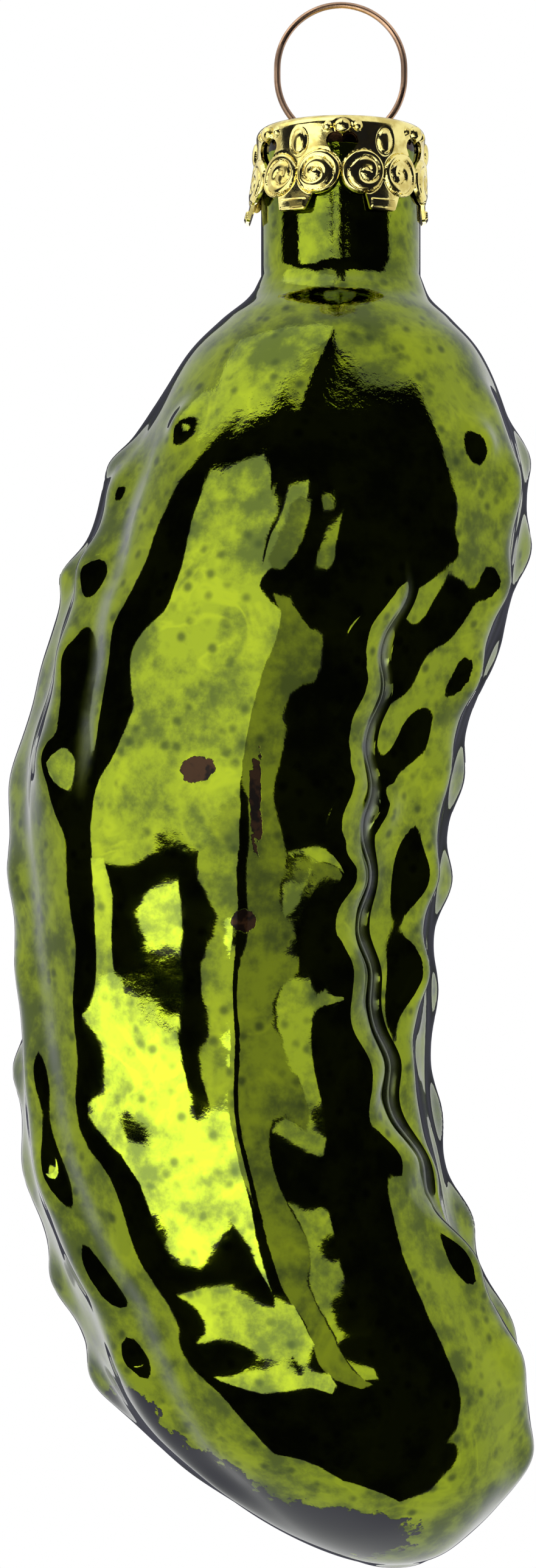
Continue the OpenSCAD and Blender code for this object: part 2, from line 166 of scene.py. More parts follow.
# Painted sheen round the foot of the neck: its strength and its half length as a share
SHOULDER_PAINTED_SHEEN = 0.3
SHOULDER_PAINTED_SHEEN_SHARE = 0.012
# Shares of the length at which the ripples and the flattening front to back are whole
RIPPLE_FULL_SHARE = 0.07
FLATTENED_SHARE = 0.17
RIPPLE_SEED = 11
RIPPLE_WAVES = 36
RIPPLE_LENGTHS = (4.0, 11.0)
RIPPLE_EVEN_LENGTH = 8.0

# Single knobs: place, height share
LONE_KNOBS = (
    (0.115, -49, 1.0), (0.140, -82, 1.0), (0.224, -90, 1.0), (0.131, 50, 1.0), (0.409, 44, 0.8),
    (0.826, -53, 0.45), (0.551, 35.5, 0.4), (0.618, 42, 0.5), (0.240, 120, 0.9), (0.450, 178, 0.8),
    (0.620, -155, 0.8), (0.760, 140, 0.7), (0.160, -120, 0.9), (0.345, -178, 0.6),
)
LONE_KNOB_HALF_LEN_SHARE = 0.016
LONE_KNOB_HALF_TURN = 5.5
# Shallow dents: place, half length share, half turn, depth
DENTS = (
    (0.262, 42, 0.028, 9, 0.40), (0.350, 46, 0.020, 7, 0.32), (0.452, 50, 0.032, 7, 0.32),
    (0.600, 68, 0.024, 7, 0.30), (0.205, -100, 0.022, 9, 0.30), (0.560, 160, 0.030, 10, 0.35),
    (0.300, -155, 0.028, 9, 0.35), (0.700, -140, 0.026, 9, 0.30),
)
# Mould seams: places of the front one, and the shares of the length over which both rise and die away
SEAM_STATIONS = (
    (0.0, 2), (0.04, 0), (0.09, -8), (0.14, -13), (0.25, -9), (0.36, 0), (0.6, 3), (1.0, 4),
)
SEAM_RISE_SHARES = (0.015, 0.05)
SEAM_END_SHARES = (0.85, 0.95)
SEAM_HALF_TURN = 16

# Patches of worn lacquer: place, half length share, half turn, degrees of lean over the length
BARE_PATCHES = (
    (0.955, -30, 0.030, 55, 0), (0.915, -60, 0.034, 30, 0), (0.885, -68, 0.032, 24, 0),
    (0.858, -60, 0.022, 12, 0), (0.490, 5, 0.010, 3.4, 0), (0.400, 6, 0.050, 1.4, 30),
    (0.380, -9, 0.011, 5, 0), (0.780, 150, 0.030, 10, 0), (0.300, 170, 0.020, 8, 0),
    (0.960, 140, 0.022, 40, 0),
)
PATCH_SHARPNESS = 1.5
# A patch with a larger half turn than this is slate coloured, and a smaller one is brown
BROAD_PATCH_TURN = 7

# Mesh of the glass
SIDES = 236
# Extra sides along the crease, in times the usual number, and the half turn that has them
CREASE_SIDES = 3.2
CREASE_SIDES_TURN = 9
# The sides leave this angle for the crease: wholly within the first turn, ever less over the second
CREASE_HOME = 45
CREASE_FOLLOW_TURNS = (12, 90)
SIDE_SAMPLES = 7201
BODY_ROWS = 350
NECK_ROWS = 20
LIP_ROWS = 8
INNER_ROWS = 24
# Outline rows where the outside and the hollow start, and how far before the last the hollow ends
OUTSIDE_START_ROW = 0.35
HOLLOW_START_ROW = 0.4
HOLLOW_END_ROWS = 0.5

# Studio cards: name, outline as (bearing, elevation) in degrees, how many millimetres it stands
# behind the nearest, colour, strength
CARD_DISTANCE = 110
# Degrees between points of a card, along its edge and inside
CARD_EDGE_STEP = 2.5
CARD_STEP = 3.0
DAYLIGHT = (1.0, 1.0, 0.95)
LAMPLIGHT = (1.0, 1.0, 0.9)
FRONT_BLACK = (0.011, 0.011, 0.020)
BACK_BLACK = (0.085, 0.085, 0.11)
STUDIO_CARDS = (
    ("front_flag", (
        (-93, -8), (-96, 6), (-95, 22), (-92, 32), (-80, 40), (-73, 46), (-60, 51), (-50, 56), (-38, 58),
        (-26, 57), (-16, 55), (-9, 55), (-2, 62), (8, 74), (17, 74), (12, 62), (14, 56), (24, 54), (45, 51),
        (62, 50), (68, 47), (70, 36), (72, 22), (78, 13), (84, 6), (84, 2), (80, -6), (79, -28), (76, -42),
        (66, -54), (62, -72), (0, -76), (-38, -73), (-46, -58), (-54, -46), (-66, -38), (-74, -28),
        (-88, -16)), 4, FRONT_BLACK, 1.0),
    ("window", (
        (-75, -6.5), (-75, 3), (-68, 11), (-62, 22), (-61, 32), (-60, 41), (-36, 44), (-22, 33), (-12, 30),
        (-9, 27), (-9, 32), (-1, 32), (0, 27), (-6, 24), (-9, 20), (-2, 14), (4, 10), (4, -8), (-12, -9),
        (-30, -7.5), (-52, -7.5)), 2, DAYLIGHT, 1.8),
    ("top_window", (
        (-84, 46), (-60, 52), (-44, 55), (-34, 61), (-3, 66), (0, 84), (-84, 84), (-112, 60)),
     1, DAYLIGHT, 1.8),
    ("left_strip", ((-76, -6), (-66, -6), (-60, -14), (-74, -15)), 1, DAYLIGHT, 2.4),
    ("mid_strip", ((-20, -8), (4, -8), (4, -16), (-14, -16), (-22, -12)), 1, DAYLIGHT, 1.4),
    ("side_window", (
        (-2, 17), (8, 14), (16, 5), (24, -4), (26, -9), (28, -12.5), (38, -17), (30, -21), (10, -19), (9, -8),
        (4, -6), (4, 9)), 1, DAYLIGHT, 0.65),
    ("softbox", (
        (-80, -14.2), (-73, -13.2), (-63, -13.6), (-53, -14.4), (-44, -13.7), (-38, -12.8), (-31, -12.7),
        (-30, -16), (-24, -17), (-11, -15.5), (-2, -15), (1, -18), (-3, -24), (-14, -22), (-24, -27),
        (-31, -30), (-46, -32), (-49, -25), (-59, -18), (-67, -17)), 0, LAMPLIGHT, 4.3),
    ("low_card", (
        (-52, -40), (-37, -36), (-24, -32), (-6, -28), (-2, -25), (16, -19), (17, -23), (12, -29),
        (-4, -31), (-20, -40)), 0, LAMPLIGHT, 2.6),
    ("glint_a", ((-20, 33.5), (-15, 33), (-15, 31), (-19, 31.5)), 0, DAYLIGHT, 1.0),
    ("glint_b", ((-7, 28), (-3, 29), (2, 27), (3, 24.5), (0, 23.5), (-4, 25)), 0, DAYLIGHT, 1.0),
    ("glint_c", ((8, 27), (12, 26.5), (14, 23), (11, 23.5)), 0, DAYLIGHT, 1.0),
    ("glint_d", ((14, 21), (19, 20.5), (21, 17), (18, 15.5), (15, 18)), 0, DAYLIGHT, 1.0),
    ("low_fill", ((28, -11.5), (38, -10), (41, -10.5), (42, -14), (34, -15.5)), 0, LAMPLIGHT, 1.3),
    ("back_flag", (
        (148, -30), (144, -8), (146, 12), (152, 30), (160, 44), (178, 52), (196, 48), (208, 34), (214, 16),
        (212, -4), (206, -16), (208, -34), (196, -50), (180, -56), (164, -50), (152, -40)),
     4, BACK_BLACK, 1.0),
    ("back_window", ((164, -2), (166, 16), (172, 28), (190, 24), (196, 12), (194, -4), (180, -6)),
     2, DAYLIGHT, 1.8),
    ("back_softbox", ((174, -14), (188, -12), (194, -20), (186, -32), (172, -28)), 2, LAMPLIGHT, 4.0),
)

# Crown cap
PETALS = 6
SHEET_T = 0.22
SHOULDER_R = 0.65
CAP_WALL_R = 5.82
CAP_TOP_R = CAP_WALL_R - SHOULDER_R
PETAL_HALF_W = CAP_WALL_R * math.pi / PETALS
# The skirt flares by this much at its hem, from this share of its depth on
SKIRT_FLARE = 0.4
FLARE_START = 0.2
# The cap sits askew, with its hem this far towards -X
SKIRT_LEAN = 0.35
# How far down the cap each ornament lies, as a share of its depth
CREST_SHARE = 0.135
BEAD_SHARE = 0.27
HEART_SHARE = 0.36
VOLUTE_SHARE = 0.605
VOLUTE_R = 1.49
VOLUTE_EYE = 0.24
VOLUTE_START = 35
# Added to the distance from the eye, so that it is never zero
EYE_CLEAR = 1e-6
# Groove of a volute: turns wound, share of the radius
VOLUTE_GROOVE = (
    (0.0, 1.0), (0.25, 0.84), (0.5, 0.68), (0.75, 0.66), (1.0, 0.56), (1.25, 0.38), (1.5, 0.24),
    (1.75, 0.1), (2.0, 0.0),
)
# Narrowest half width of a coil, its least height and how height grows with the half width
COIL_HALF_W = 0.03
COIL_LEAST = 0.45
COIL_SWELL = 1.6
# Pressed heights
COIL_H = 0.24
GROOVE_H = 0.05
BEAD_H = 0.26
CREST_H = 0.4
BAR_H = 0.16
# Half width and half height of the bead, the crest's boss and the dot on either side of the boss
BEAD_HALF = (0.56, 0.82)
CREST_HALF = (0.58, 0.52)
DOT_HALF = (0.29, 0.3)
DOT_ACROSS = 1.04
DOT_H_SHARE = 0.6
# Groove round each: where it lies and its half width, as shares of the ornament
VOLUTE_RIM = (1.02, 0.05)
BEAD_RIM = (1.12, 0.1)
CREST_RIM = (1.1, 0.08)
# Bar across each tab: where it starts and ends above the hem, its half width and its soft edges
BAR_FROM = 0.72
BAR_TO = 0.16
BAR_HALF_W = 0.83
BAR_EDGE = 0.1
BAR_END = 0.08
TAB_W = 1.9
TAB_ROOT_W = 2.62
TAB_ROOT_LAP = 0.04
TAB_CORNER = (0.12, 0.1)
# The hem stops this many degrees short of the petal's middle
HEM_GAP_TURN = 1
# Heart-shaped window: its lobes, where they end, and the sides that follow the volutes down to its tip
HEART_W = 2.2
HEART_H = 2.16
HEART_LOBE_SHARE = 0.27
HEART_LOBE_END = 12
HEART_VOLUTE_GAP = 0.09
HEART_FOOT_TURNS = (-118, -172)
HEART_TIP_CLEAR = (0.08, 0.05)
SLOT_FROM = 1.41
SLOT_TO = 4.74
SLOT_W = 0.73
# Meshes of the sheet: points apart on a petal, round a slot and on the top
MESH_STEP = 0.075
SLOT_STEP = 0.15
TOP_STEP = 0.16
# Rows of a mesh lie this many steps apart, and no point comes nearer to the edge than this many
ROW_STEPS = 0.866
EDGE_CLEAR_STEPS = 0.6
FLAT_TOLERANCE = 1e-7
EDGE_TOLERANCE = 1e-4
# Points nearer than this are joined, and an edge that bends by more degrees than this stays sharp
JOIN_DISTANCE = 0.002
SHARP_TURN = 50

# Hanging ring
WIRE_D = 0.45
WIRE_SIDES = 20
RING_STRAIGHT = 0.6
RING_WRAP = 66
KINK_R = 0.8
LEG_SPLAY = 18
BEND_STEP_TURN = 4
# Points of a leg before its tip, and the tip's rounding: degrees round it and its least thickness
LEG_POINTS = (4, 2)
TIP_TURNS = (20, 40, 60, 75, 90)
TIP_LEAST = 0.02

# Colours of the finishes, as linear red, green and blue
LACQUER_DEEP = (0.072, 0.100, 0.014)
LACQUER_BRIGHT = (0.210, 0.272, 0.012)
LACQUER_VEIN = (0.330, 0.410, 0.012)
LACQUER_SPECK = (0.030, 0.048, 0.010)
# Painted sheen: the grey of a grazing reflection, painted into the lacquer along the furrows and round the
# foot of the neck
FURROW_PAINTED_SHEEN = (0.215, 0.215, 0.290)
WORN_DARK = (0.008, 0.005, 0.004)
WORN_BROWN = (0.036, 0.017, 0.008)
WORN_SLATE = (0.034, 0.034, 0.044)
SILVER_TINT = (0.34, 0.36, 0.33, 1)
GOLD = (0.91, 0.80, 0.31)
DULL_GOLD = (0.62, 0.50, 0.15)
ROSE_GOLD = (0.60, 0.38, 0.25)
DULL_ROSE_GOLD = (0.26, 0.17, 0.12)
# The crinkles in the lacquer die away between these heights
CRINKLE_HEIGHTS = (-36, -27)


def ease(u):
    """A soft step from 0 to 1 while u goes from 0 to 1."""
    v = np.clip(u, 0.0, 1.0)
    return v * v * (3 - 2 * v)


def bell(u):
    """1 where u is 0, dying away on both sides."""
    return np.exp(-u * u)


def turned(angle):
    """The same angle, brought between -180 and 180 degrees."""
    return angle - 360 * np.round(angle / 360)


def at_stations(stations, share):
    """The value at a share of the length, between (share, value) stations."""
    shares, values = zip(*stations)
    return np.interp(share, shares, values)


def arc(centre, radius, start, end, count):
    """Points of a circle's arc between two angles in degrees, in this many steps."""
    angles = np.radians(np.linspace(start, end, count + 1))
    return [(centre[0] + radius * math.cos(a), centre[1] + radius * math.sin(a)) for a in angles]


def placed_object(name, data):
    """A new object in the scene, at the origin."""
    made = bpy.data.objects.new(name, data)
    bpy.context.scene.collection.objects.link(made)
    return made


def mesh_object(name, points_mm, faces):
    """A smooth piece at the origin, with its place in its mesh."""
    mesh = bpy.data.meshes.new(name)
    mesh.from_pydata((np.asarray(points_mm) * MM).tolist(), [], faces)
    mesh.validate()
    mesh.shade_smooth()
    return placed_object(name, mesh)


# Node trees

class Nodes:
    """A node tree built node by node."""

    def __init__(self, tree):
        self.tree = tree

    def wire(self, value, socket):
        """Joins an output, or a node's first one, to a socket, or sets the socket to a value."""
        if isinstance(value, bpy.types.Node):
            value = value.outputs[0]
        if isinstance(value, bpy.types.NodeSocket):
            self.tree.links.new(value, socket)
        else:
            socket.default_value = value

    def node(self, kind, wires=None, **settings):
        """A node with its settings, and its inputs joined to outputs or set to values."""
        made = self.tree.nodes.new(kind)
        for key, value in settings.items():
            setattr(made, key, value)
        for key, value in (wires or {}).items():
            self.wire(value, made.inputs[key])
        return made


class Growth(Nodes):
    """A geometry tree with named inputs, run on an object to grow a piece from it."""

    def __init__(self, name, inputs):
        super().__init__(bpy.data.node_groups.new(name, "GeometryNodeTree"))
        face = self.tree.interface
        face.new_socket("Geometry", in_out="INPUT", socket_type="NodeSocketGeometry")
        for label, kind in inputs.items():
            face.new_socket(label, in_out="INPUT", socket_type="NodeSocket" + kind)
        face.new_socket("Geometry", in_out="OUTPUT", socket_type="NodeSocketGeometry")
        self.start = self.tree.nodes.new("NodeGroupInput")
        self.end = self.tree.nodes.new("NodeGroupOutput")

    def given(self, label):
        """One of the tree's named inputs."""
        return self.start.outputs[label]

    def ends_in(self, geometry, material):
        """Realizes everything, gives it its finish and sends it out."""
        real = self.node("GeometryNodeRealizeInstances", {"Geometry": geometry})
        dressed = self.node("GeometryNodeSetMaterial", {"Geometry": real, "Material": material})
        self.wire(dressed, self.end.inputs[0])

    def grow(self, name, source, values):
        """Runs the tree on an object and gives back the result as a plain mesh piece."""
        modifier = source.modifiers.new("grow", "NODES")
        modifier.node_group = self.tree
        for socket in self.tree.interface.items_tree:
            if socket.in_out == "INPUT" and socket.name in values:
                modifier[socket.identifier] = values[socket.name]
        seen = bpy.context.evaluated_depsgraph_get()
        seen.update()
        mesh = bpy.data.meshes.new_from_object(source.evaluated_get(seen))
        mesh.name = name
        bpy.data.objects.remove(source)
        return placed_object(name, mesh)


# Glass

def outline_at(rows):
    """Share of length, bow and radius at fractional row numbers of the outline."""
    table = np.array(OUTLINE_SHARES)
    slope = np.gradient(table, axis=0)
    slope[0] = table[1] - table[0]
    slope[-1] = (0, 0, -2 * table[-2, 2])
    i = np.minimum(np.floor(rows).astype(int), len(table) - 2)
    u = (rows - i)[:, None]
    return (
        (2 * u**3 - 3 * u**2 + 1) * table[i]
        + (u**3 - 2 * u**2 + u) * slope[i]
        + (3 * u**2 - 2 * u**3) * table[i + 1]
        + (u**3 - u**2) * slope[i + 1]
    )


def spanned(share, start, end):
    """1 between two shares of the length, fading in after the start and out before the end."""
    return ease((share - start) / FADE_SHARE) * (1 - ease((share - end) / FADE_SHARE))


def knob_wave(count, phase, share):
    """1 at the middle of each knob along a rib and 0 half way between two."""
    return (0.5 + 0.5 * np.cos(2 * math.pi * (count * share + phase))) ** KNOB_SHARPNESS


def side_turns(share):
    """Degrees of the mesh's sides. They crowd along the deep crease and follow its way."""
    fine = np.linspace(-180, 180, SIDE_SAMPLES)
    density = 1 + CREASE_SIDES * bell(fine / CREASE_SIDES_TURN)
    passed = np.concatenate([[0], np.cumsum((density[1:] + density[:-1]) / 2)])
    passed = passed / passed[-1]
    base = np.interp(np.mod(0.5 + np.arange(SIDES) / SIDES, 1), passed, fine)[None, :]
    count, phase = RIBS[0][1:3]
    way = at_stations(CREASE_STATIONS, share) + KNOB_PUSH * (knob_wave(count, phase, share) - 0.5)
    follows = 1 - ease((np.abs(base) - CREASE_FOLLOW_TURNS[0]) / CREASE_FOLLOW_TURNS[1])
    return base + CREASE_HOME + (way - CREASE_HOME) * follows


def moulded(share, turn, place):
    """Height of all that is moulded or blown above the plain outline, and how much painted sheen it gets,
    along the furrows and round the foot of the neck.
    """
    height = np.zeros(np.broadcast(share, turn).shape)
    painted_sheen_mark = np.zeros_like(height)
    for rib in RIBS:
        stations, count, phase, furrow_turn, furrow_share, rib_share, far_turn, knob_share, start, end = rib
        side = np.sign(furrow_turn)
        wave = knob_wave(count, phase, share)
        push = KNOB_PUSH * furrow_share * (wave - 0.5)
        off = side * turned(turn - at_stations(stations, share)) - push
        uneven = KNOB_UNEVEN_PACE * count * share + KNOB_UNEVEN_PHASE * phase
        size = KNOB_SIZE + KNOB_UNEVEN * np.cos(2 * math.pi * uneven)
        half_turn = np.where(off > 0, RIB_HALF_TURN, far_turn)
        past = off - abs(furrow_turn)
        round_turn = np.interp(furrow_share, (0, 1), FURROW_ROUND_TURNS[::-1])
        reach = np.hypot(past, round_turn) - round_turn
        near, far, rise = (
            np.maximum(0, 1 - reach / wall_turn) ** FURROW_POWER
            for wall_turn in (FURROW_NEAR_TURN, FURROW_FAR_TURN, FURROW_RISE_TURN)
        )
        furrow = np.where(past > 0, FURROW_FAR_SHARE * far + (1 - FURROW_FAR_SHARE) * rise, near)
        shown = spanned(share, start, end)
        height += shown * (
            RIB_H * rib_share * bell(off / half_turn)
            + KNOB_H * knob_share * size * wave * bell(off / KNOB_HALF_TURN)
            - FURROW_DEPTH * furrow_share * furrow
        )
        # Marks for painted sheen, a grey reflection painted along each furrow and round the foot of the neck
        painted_sheen_turn = np.interp(furrow_share, (0, 1), PAINTED_SHEEN_TURNS)
        painted_sheen_mark += shown * math.sqrt(furrow_share) * bell(past / painted_sheen_turn)
    painted_sheen_mark += SHOULDER_PAINTED_SHEEN * bell(share / SHOULDER_PAINTED_SHEEN_SHARE)
    rise, end = (
        ease((share - first) / (last - first)) for first, last in (SEAM_RISE_SHARES, SEAM_END_SHARES)
    )
    shown = rise * (1 - end)
    seam_off = np.abs(turned(turn - at_stations(SEAM_STATIONS, share)))
    back_off = 180 - np.abs(turned(turn))
    for off in (seam_off, back_off):
        height += shown * SEAM_H * np.maximum(0, 1 - off / SEAM_HALF_TURN)
    for knob_share, knob_turn, knob_h in LONE_KNOBS:
        height += (
            LONE_KNOB_H * knob_h * bell((share - knob_share) / LONE_KNOB_HALF_LEN_SHARE)
            * bell(turned(turn - knob_turn) / LONE_KNOB_HALF_TURN)
        )
    for dent_share, dent_turn, half_share, half_turn, depth in DENTS:
        height -= depth * bell((share - dent_share) / half_share) * bell(turned(turn - dent_turn) / half_turn)
    return height + RIPPLE_H * ripple(place) * ease(share / RIPPLE_FULL_SHARE), painted_sheen_mark


def bare_patches(share, turn):
    """How worn the lacquer is, 1 in the middle of a patch and 0 away from it, and the same for broad ones."""
    bare = np.zeros(np.broadcast(share, turn).shape)
    broad = np.zeros_like(bare)
    for at_share, at_turn, half_share, half_turn, lean in BARE_PATCHES:
        along = share - at_share
        around = turned(turn - at_turn - lean * along)
        patch = bell(np.hypot(along / half_share, around / half_turn) ** PATCH_SHARPNESS)
        bare = np.maximum(bare, patch)
        if half_turn > BROAD_PATCH_TURN:
            broad = np.maximum(broad, patch)
    return bare, broad


def ripple(place):
    """Gentle uneven waves, as blown glass has, from a few dozen crossed sines."""
    rng = np.random.default_rng(RIPPLE_SEED)
    directions = rng.normal(size=(RIPPLE_WAVES, 3))
    directions /= np.linalg.norm(directions, axis=1)[:, None]
    lengths = rng.uniform(*RIPPLE_LENGTHS, RIPPLE_WAVES)
    phases = rng.uniform(0, 2 * math.pi, RIPPLE_WAVES)
    total = np.zeros(place.shape[:-1])
    for direction, length, phase in zip(directions, lengths, phases):
        wave = np.sin(place @ (2 * math.pi * direction / length) + phase)
        total += wave * (length / RIPPLE_EVEN_LENGTH)
    return total / math.sqrt(RIPPLE_WAVES / 2)


def rows_on_body(rows, base_z, length):
    """Rows of points down the gherkin: share of the length, degrees round, plain radius and their placing."""
    share, bow, radius = (column[:, None] for column in outline_at(rows).T)
    turn = side_turns(share)
    angle = np.radians(turn)
    depth = 1 - (1 - BODY_DEPTH_SHARE) * ease(share / FLATTENED_SHARE)

    def placed(r):
        """The points at radius r, as an array of rows by sides."""
        x, y = bow * BODY_BOW + r * np.sin(angle), -r * depth * np.cos(angle)
        return np.stack(np.broadcast_arrays(x, y, base_z - length * share), axis=-1)

    return share, turn, radius * BODY_R, placed


def plain_rings(rows, base_z, length, inset=0.0):
    """Rings of the plain outline, or of one a little inside it."""
    radius, placed = rows_on_body(rows, base_z, length)[2:]
    return placed(np.maximum(0, radius - inset))


def moulded_rings(rows, base_z, length):
    """Rings of the outline with its relief, and the marks at each point that the lacquer reads."""
    share, turn, radius, placed = rows_on_body(rows, base_z, length)
    plain = np.maximum(0, radius)
    height, painted_sheen_mark = moulded(share, turn, placed(plain))
    bare, broad = bare_patches(share, turn)
    rings = placed(plain + height * np.minimum(1, plain / RELIEF_FULL_R))
    return rings, {"painted_sheen_mark": painted_sheen_mark, "bare": bare, "broad": broad}


def glass_mesh():
    """The blown glass as one closed skin: inner wall, bore, lip, neck and moulded outside."""
    mouth_z, tip_z = glass_high[2], glass_low[2]
    base_z = mouth_z - NECK_LEN
    length = base_z - tip_z
    turn = np.radians(side_turns(np.zeros((1, 1)))[0])
    last = len(OUTLINE_SHARES) - 1
    lip_r = GLASS_T / 2
    bore_r = NECK_R - GLASS_T

    def ring(r, z):
        """A level ring of the neck."""
        return np.stack([r * np.sin(turn), -r * np.cos(turn), np.full(SIDES, z)], axis=-1)

    inside = plain_rings(
        np.linspace(last - HOLLOW_END_ROWS, HOLLOW_START_ROW, INNER_ROWS),
        base_z, length - HOLLOW_TIP_WALLS * GLASS_T, HOLLOW_INSET_WALLS * GLASS_T,
    )
    bore = [ring(bore_r, z) for z in np.linspace(base_z + BORE_FOOT, mouth_z - lip_r, NECK_ROWS // 2)]
    lip = [
        ring(bore_r + lip_r - lip_r * math.cos(a), mouth_z - lip_r + lip_r * math.sin(a))
        for a in np.linspace(0, math.pi, LIP_ROWS + 2)[1:-1]
    ]
    neck = [ring(NECK_R, z) for z in np.linspace(mouth_z - lip_r, base_z + NECK_FILLET, NECK_ROWS)]
    outside, marks = moulded_rings(np.linspace(OUTSIDE_START_ROW, last, BODY_ROWS + 1)[:-1], base_z, length)
    rings = np.concatenate([inside, bore, lip, neck, outside])
    end = (len(rings) - 1) * SIDES
    side = np.arange(SIDES)
    after = (side + 1) % SIDES
    faces = []
    for a in range(0, end, SIDES):
        b = a + SIDES
        faces += np.stack([a + side, b + side, b + after, a + after], axis=1).tolist()
    tip = plain_rings(np.array([float(last)]), base_z, length)[0][:1]
    floor = inside[0].mean(axis=0, keepdims=True) - [[0, 0, HOLLOW_FLOOR_DROP]]
    points = np.concatenate([rings.reshape(-1, 3), tip, floor])
    tip_at, floor_at = len(points) - 2, len(points) - 1
    pairs = list(zip(side.tolist(), after.tolist()))
    faces += [(end + j, tip_at, end + k) for j, k in pairs]
    faces += [(k, floor_at, j) for j, k in pairs]
    piece = mesh_object("lacquered_glass", points, faces)
    before = (len(rings) - BODY_ROWS) * SIDES
    for name, shown in marks.items():
        values = np.zeros(len(points), dtype=np.float32)
        values[before:before + shown.size] = shown.ravel()
        if name == "bare":
            values[points[:, 2] > mouth_z - BARE_MOUTH] = 1
        piece.data.attributes.new(name, "FLOAT", "POINT").data.foreach_set("value", values)
    return piece


# Flat outlines

def inside_loop(points, loop):
    """Which of the points lie inside a closed outline."""
    x, y = points[:, 0][:, None], points[:, 1][:, None]
    a, b = loop, np.roll(loop, -1, axis=0)
    rising = (a[:, 1] > y) != (b[:, 1] > y)
    run = np.where(b[:, 1] == a[:, 1], 1, b[:, 1] - a[:, 1])
    crossing = a[:, 0] + (y - a[:, 1]) * (b[:, 0] - a[:, 0]) / run
    return np.count_nonzero(rising & (x < crossing), axis=1) % 2 == 1


def walked(corners, step):
    """A path through the corners with points about a step apart, its last corner left out."""
    path = []
    for a, b in zip(corners[:-1], corners[1:]):
        a, b = np.array(a, dtype=float), np.array(b, dtype=float)
        count = max(1, round(float(np.linalg.norm(b - a)) / step))
        path += [a + (b - a) * i / count for i in range(count)]
    return path


def within(points, loops):
    """Which of the points lie inside the first outline and outside all the others."""
    keep = inside_loop(points, loops[0])
    for hole in loops[1:]:
        keep &= ~inside_loop(points, hole)
    return keep


def filled(loops, step):
    """Points and triangles of a flat blank, its points a step apart. The loops are its outline and holes."""
    loops = [np.array(loop) for loop in loops]
    low, high = loops[0].min(axis=0), loops[0].max(axis=0)
    across = np.arange(low[0] + step / 2, high[0], step)
    down = np.arange(low[1] + step / 2, high[1], step * ROW_STEPS)
    grid = np.array([(x + step / 2 * (j % 2), y) for j, y in enumerate(down) for x in across])
    border = np.concatenate(loops)
    near = np.array([np.min(np.sum((border - p) ** 2, axis=1)) for p in grid])
    grid = grid[within(grid, loops) & (near > (EDGE_CLEAR_STEPS * step) ** 2)]
    points = np.concatenate([border, grid])
    edges, start = [], 0
    for loop in loops:
        count = len(loop)
        edges += [(start + i, start + (i + 1) % count) for i in range(count)]
        start += count
    flat = delaunay_2d_cdt([Vector(p) for p in points], edges, [], 0, FLAT_TOLERANCE)
    points = np.array([tuple(p) for p in flat[0]])
    triangles = np.array(flat[2])
    return points, triangles[within(points[triangles].mean(axis=1), loops)]


# Crown cap

def cut_arc(centre, radius, start, end):
    """Points of a round edge of the petal, between two angles in degrees."""
    return arc(centre, radius, start, end, max(2, round(abs(math.radians(end - start)) * radius / MESH_STEP)))


def walled(name, outer, inner, triangles, open_edge):
    """A sheet with both its faces and its cut edges. open_edge says which edges stay open, to be joined."""
    count = len(outer)
    triangles = triangles.tolist()
    border = {}
    for a, b, c in triangles:
        for edge in ((a, b), (b, c), (c, a)):
            if (edge[1], edge[0]) in border:
                del border[(edge[1], edge[0])]
            else:
                border[edge] = True
    faces = triangles + [(c + count, b + count, a + count) for a, b, c in triangles]
    faces += [(b, a, a + count, b + count) for a, b in border if not open_edge(a, b)]
    return mesh_object(name, np.concatenate([outer, inner]), faces)


def sheet_place(across, drop, lift):
    """A point of the skirt: across its face, down its section from the shoulder's top, out from its face."""
    bend = SHOULDER_R * math.pi / 2
    angle = np.clip(drop / SHOULDER_R, 0, math.pi / 2)
    fall = np.maximum(0, drop - bend)
    share = (SHOULDER_R + fall) / cap_depth
    flare = np.maximum(0, share - FLARE_START) / (1 - FLARE_START)
    r = CAP_TOP_R + SHOULDER_R * np.sin(angle) + SKIRT_FLARE * flare**2
    z = cap_high[2] - SHOULDER_R + SHOULDER_R * np.cos(angle) - fall
    slope = 2 * SKIRT_FLARE * flare / (1 - FLARE_START) / cap_depth
    out_r, out_z = np.sin(angle), np.cos(angle) + slope * np.sin(angle)
    size = np.hypot(out_r, out_z)
    r = r + lift * out_r / size
    z = z + lift * out_z / size
    turn = across / CAP_WALL_R
    return np.stack([r * np.sin(turn), -r * np.cos(turn), z], axis=-1)


def leaned(points):
    """The cap's points pressed a little towards -X lower down, as it sits askew on its neck."""
    share = (cap_high[2] - points[:, 2]) / cap_depth
    points[:, 0] -= SKIRT_LEAN * share**2
    return points


def drop_of(z):
    """How far down the section a height of the skirt lies."""
    return SHOULDER_R * (math.pi / 2 - 1) + cap_high[2] - z


def coil(x, y):
    """Pressed height of one volute, and how far out of it a point lies, 1 at its edge.

    x points to its window and y down, both as shares of its radius.
    """
    x = x + VOLUTE_EYE
    q_dir = np.arctan2(y, -x)
    reach = np.hypot(x, y) + EYE_CLEAR
    cx, cy = x / reach, y / reach
    edge = cx * VOLUTE_EYE + np.sqrt(1 - (cy * VOLUTE_EYE) ** 2)
    q = reach / edge
    turns = np.mod((q_dir - math.radians(VOLUTE_START)) / (2 * math.pi), 1)
    shares, radii = zip(*VOLUTE_GROOVE)
    first = np.interp(turns, shares, radii)
    second = np.interp(turns + 1, shares, radii)
    outer = np.where(q > first, 1.0, np.where(q > second, first, second))
    inner = np.where(q > first, first, np.where(q > second, second, -second))
    middle, half = (outer + inner) / 2, np.maximum(COIL_HALF_W, (outer - inner) / 2)
    rise = np.sqrt(np.maximum(0, 1 - ((q - middle) / half) ** 2))
    return np.where(q < 1, rise * np.minimum(1, COIL_LEAST + half * COIL_SWELL), 0), q


def dome(x, y, half):
    """A rounded boss, 1 at its middle and 0 from its edge on."""
    return np.sqrt(np.maximum(0, 1 - (x / half[0]) ** 2 - (y / half[1]) ** 2))


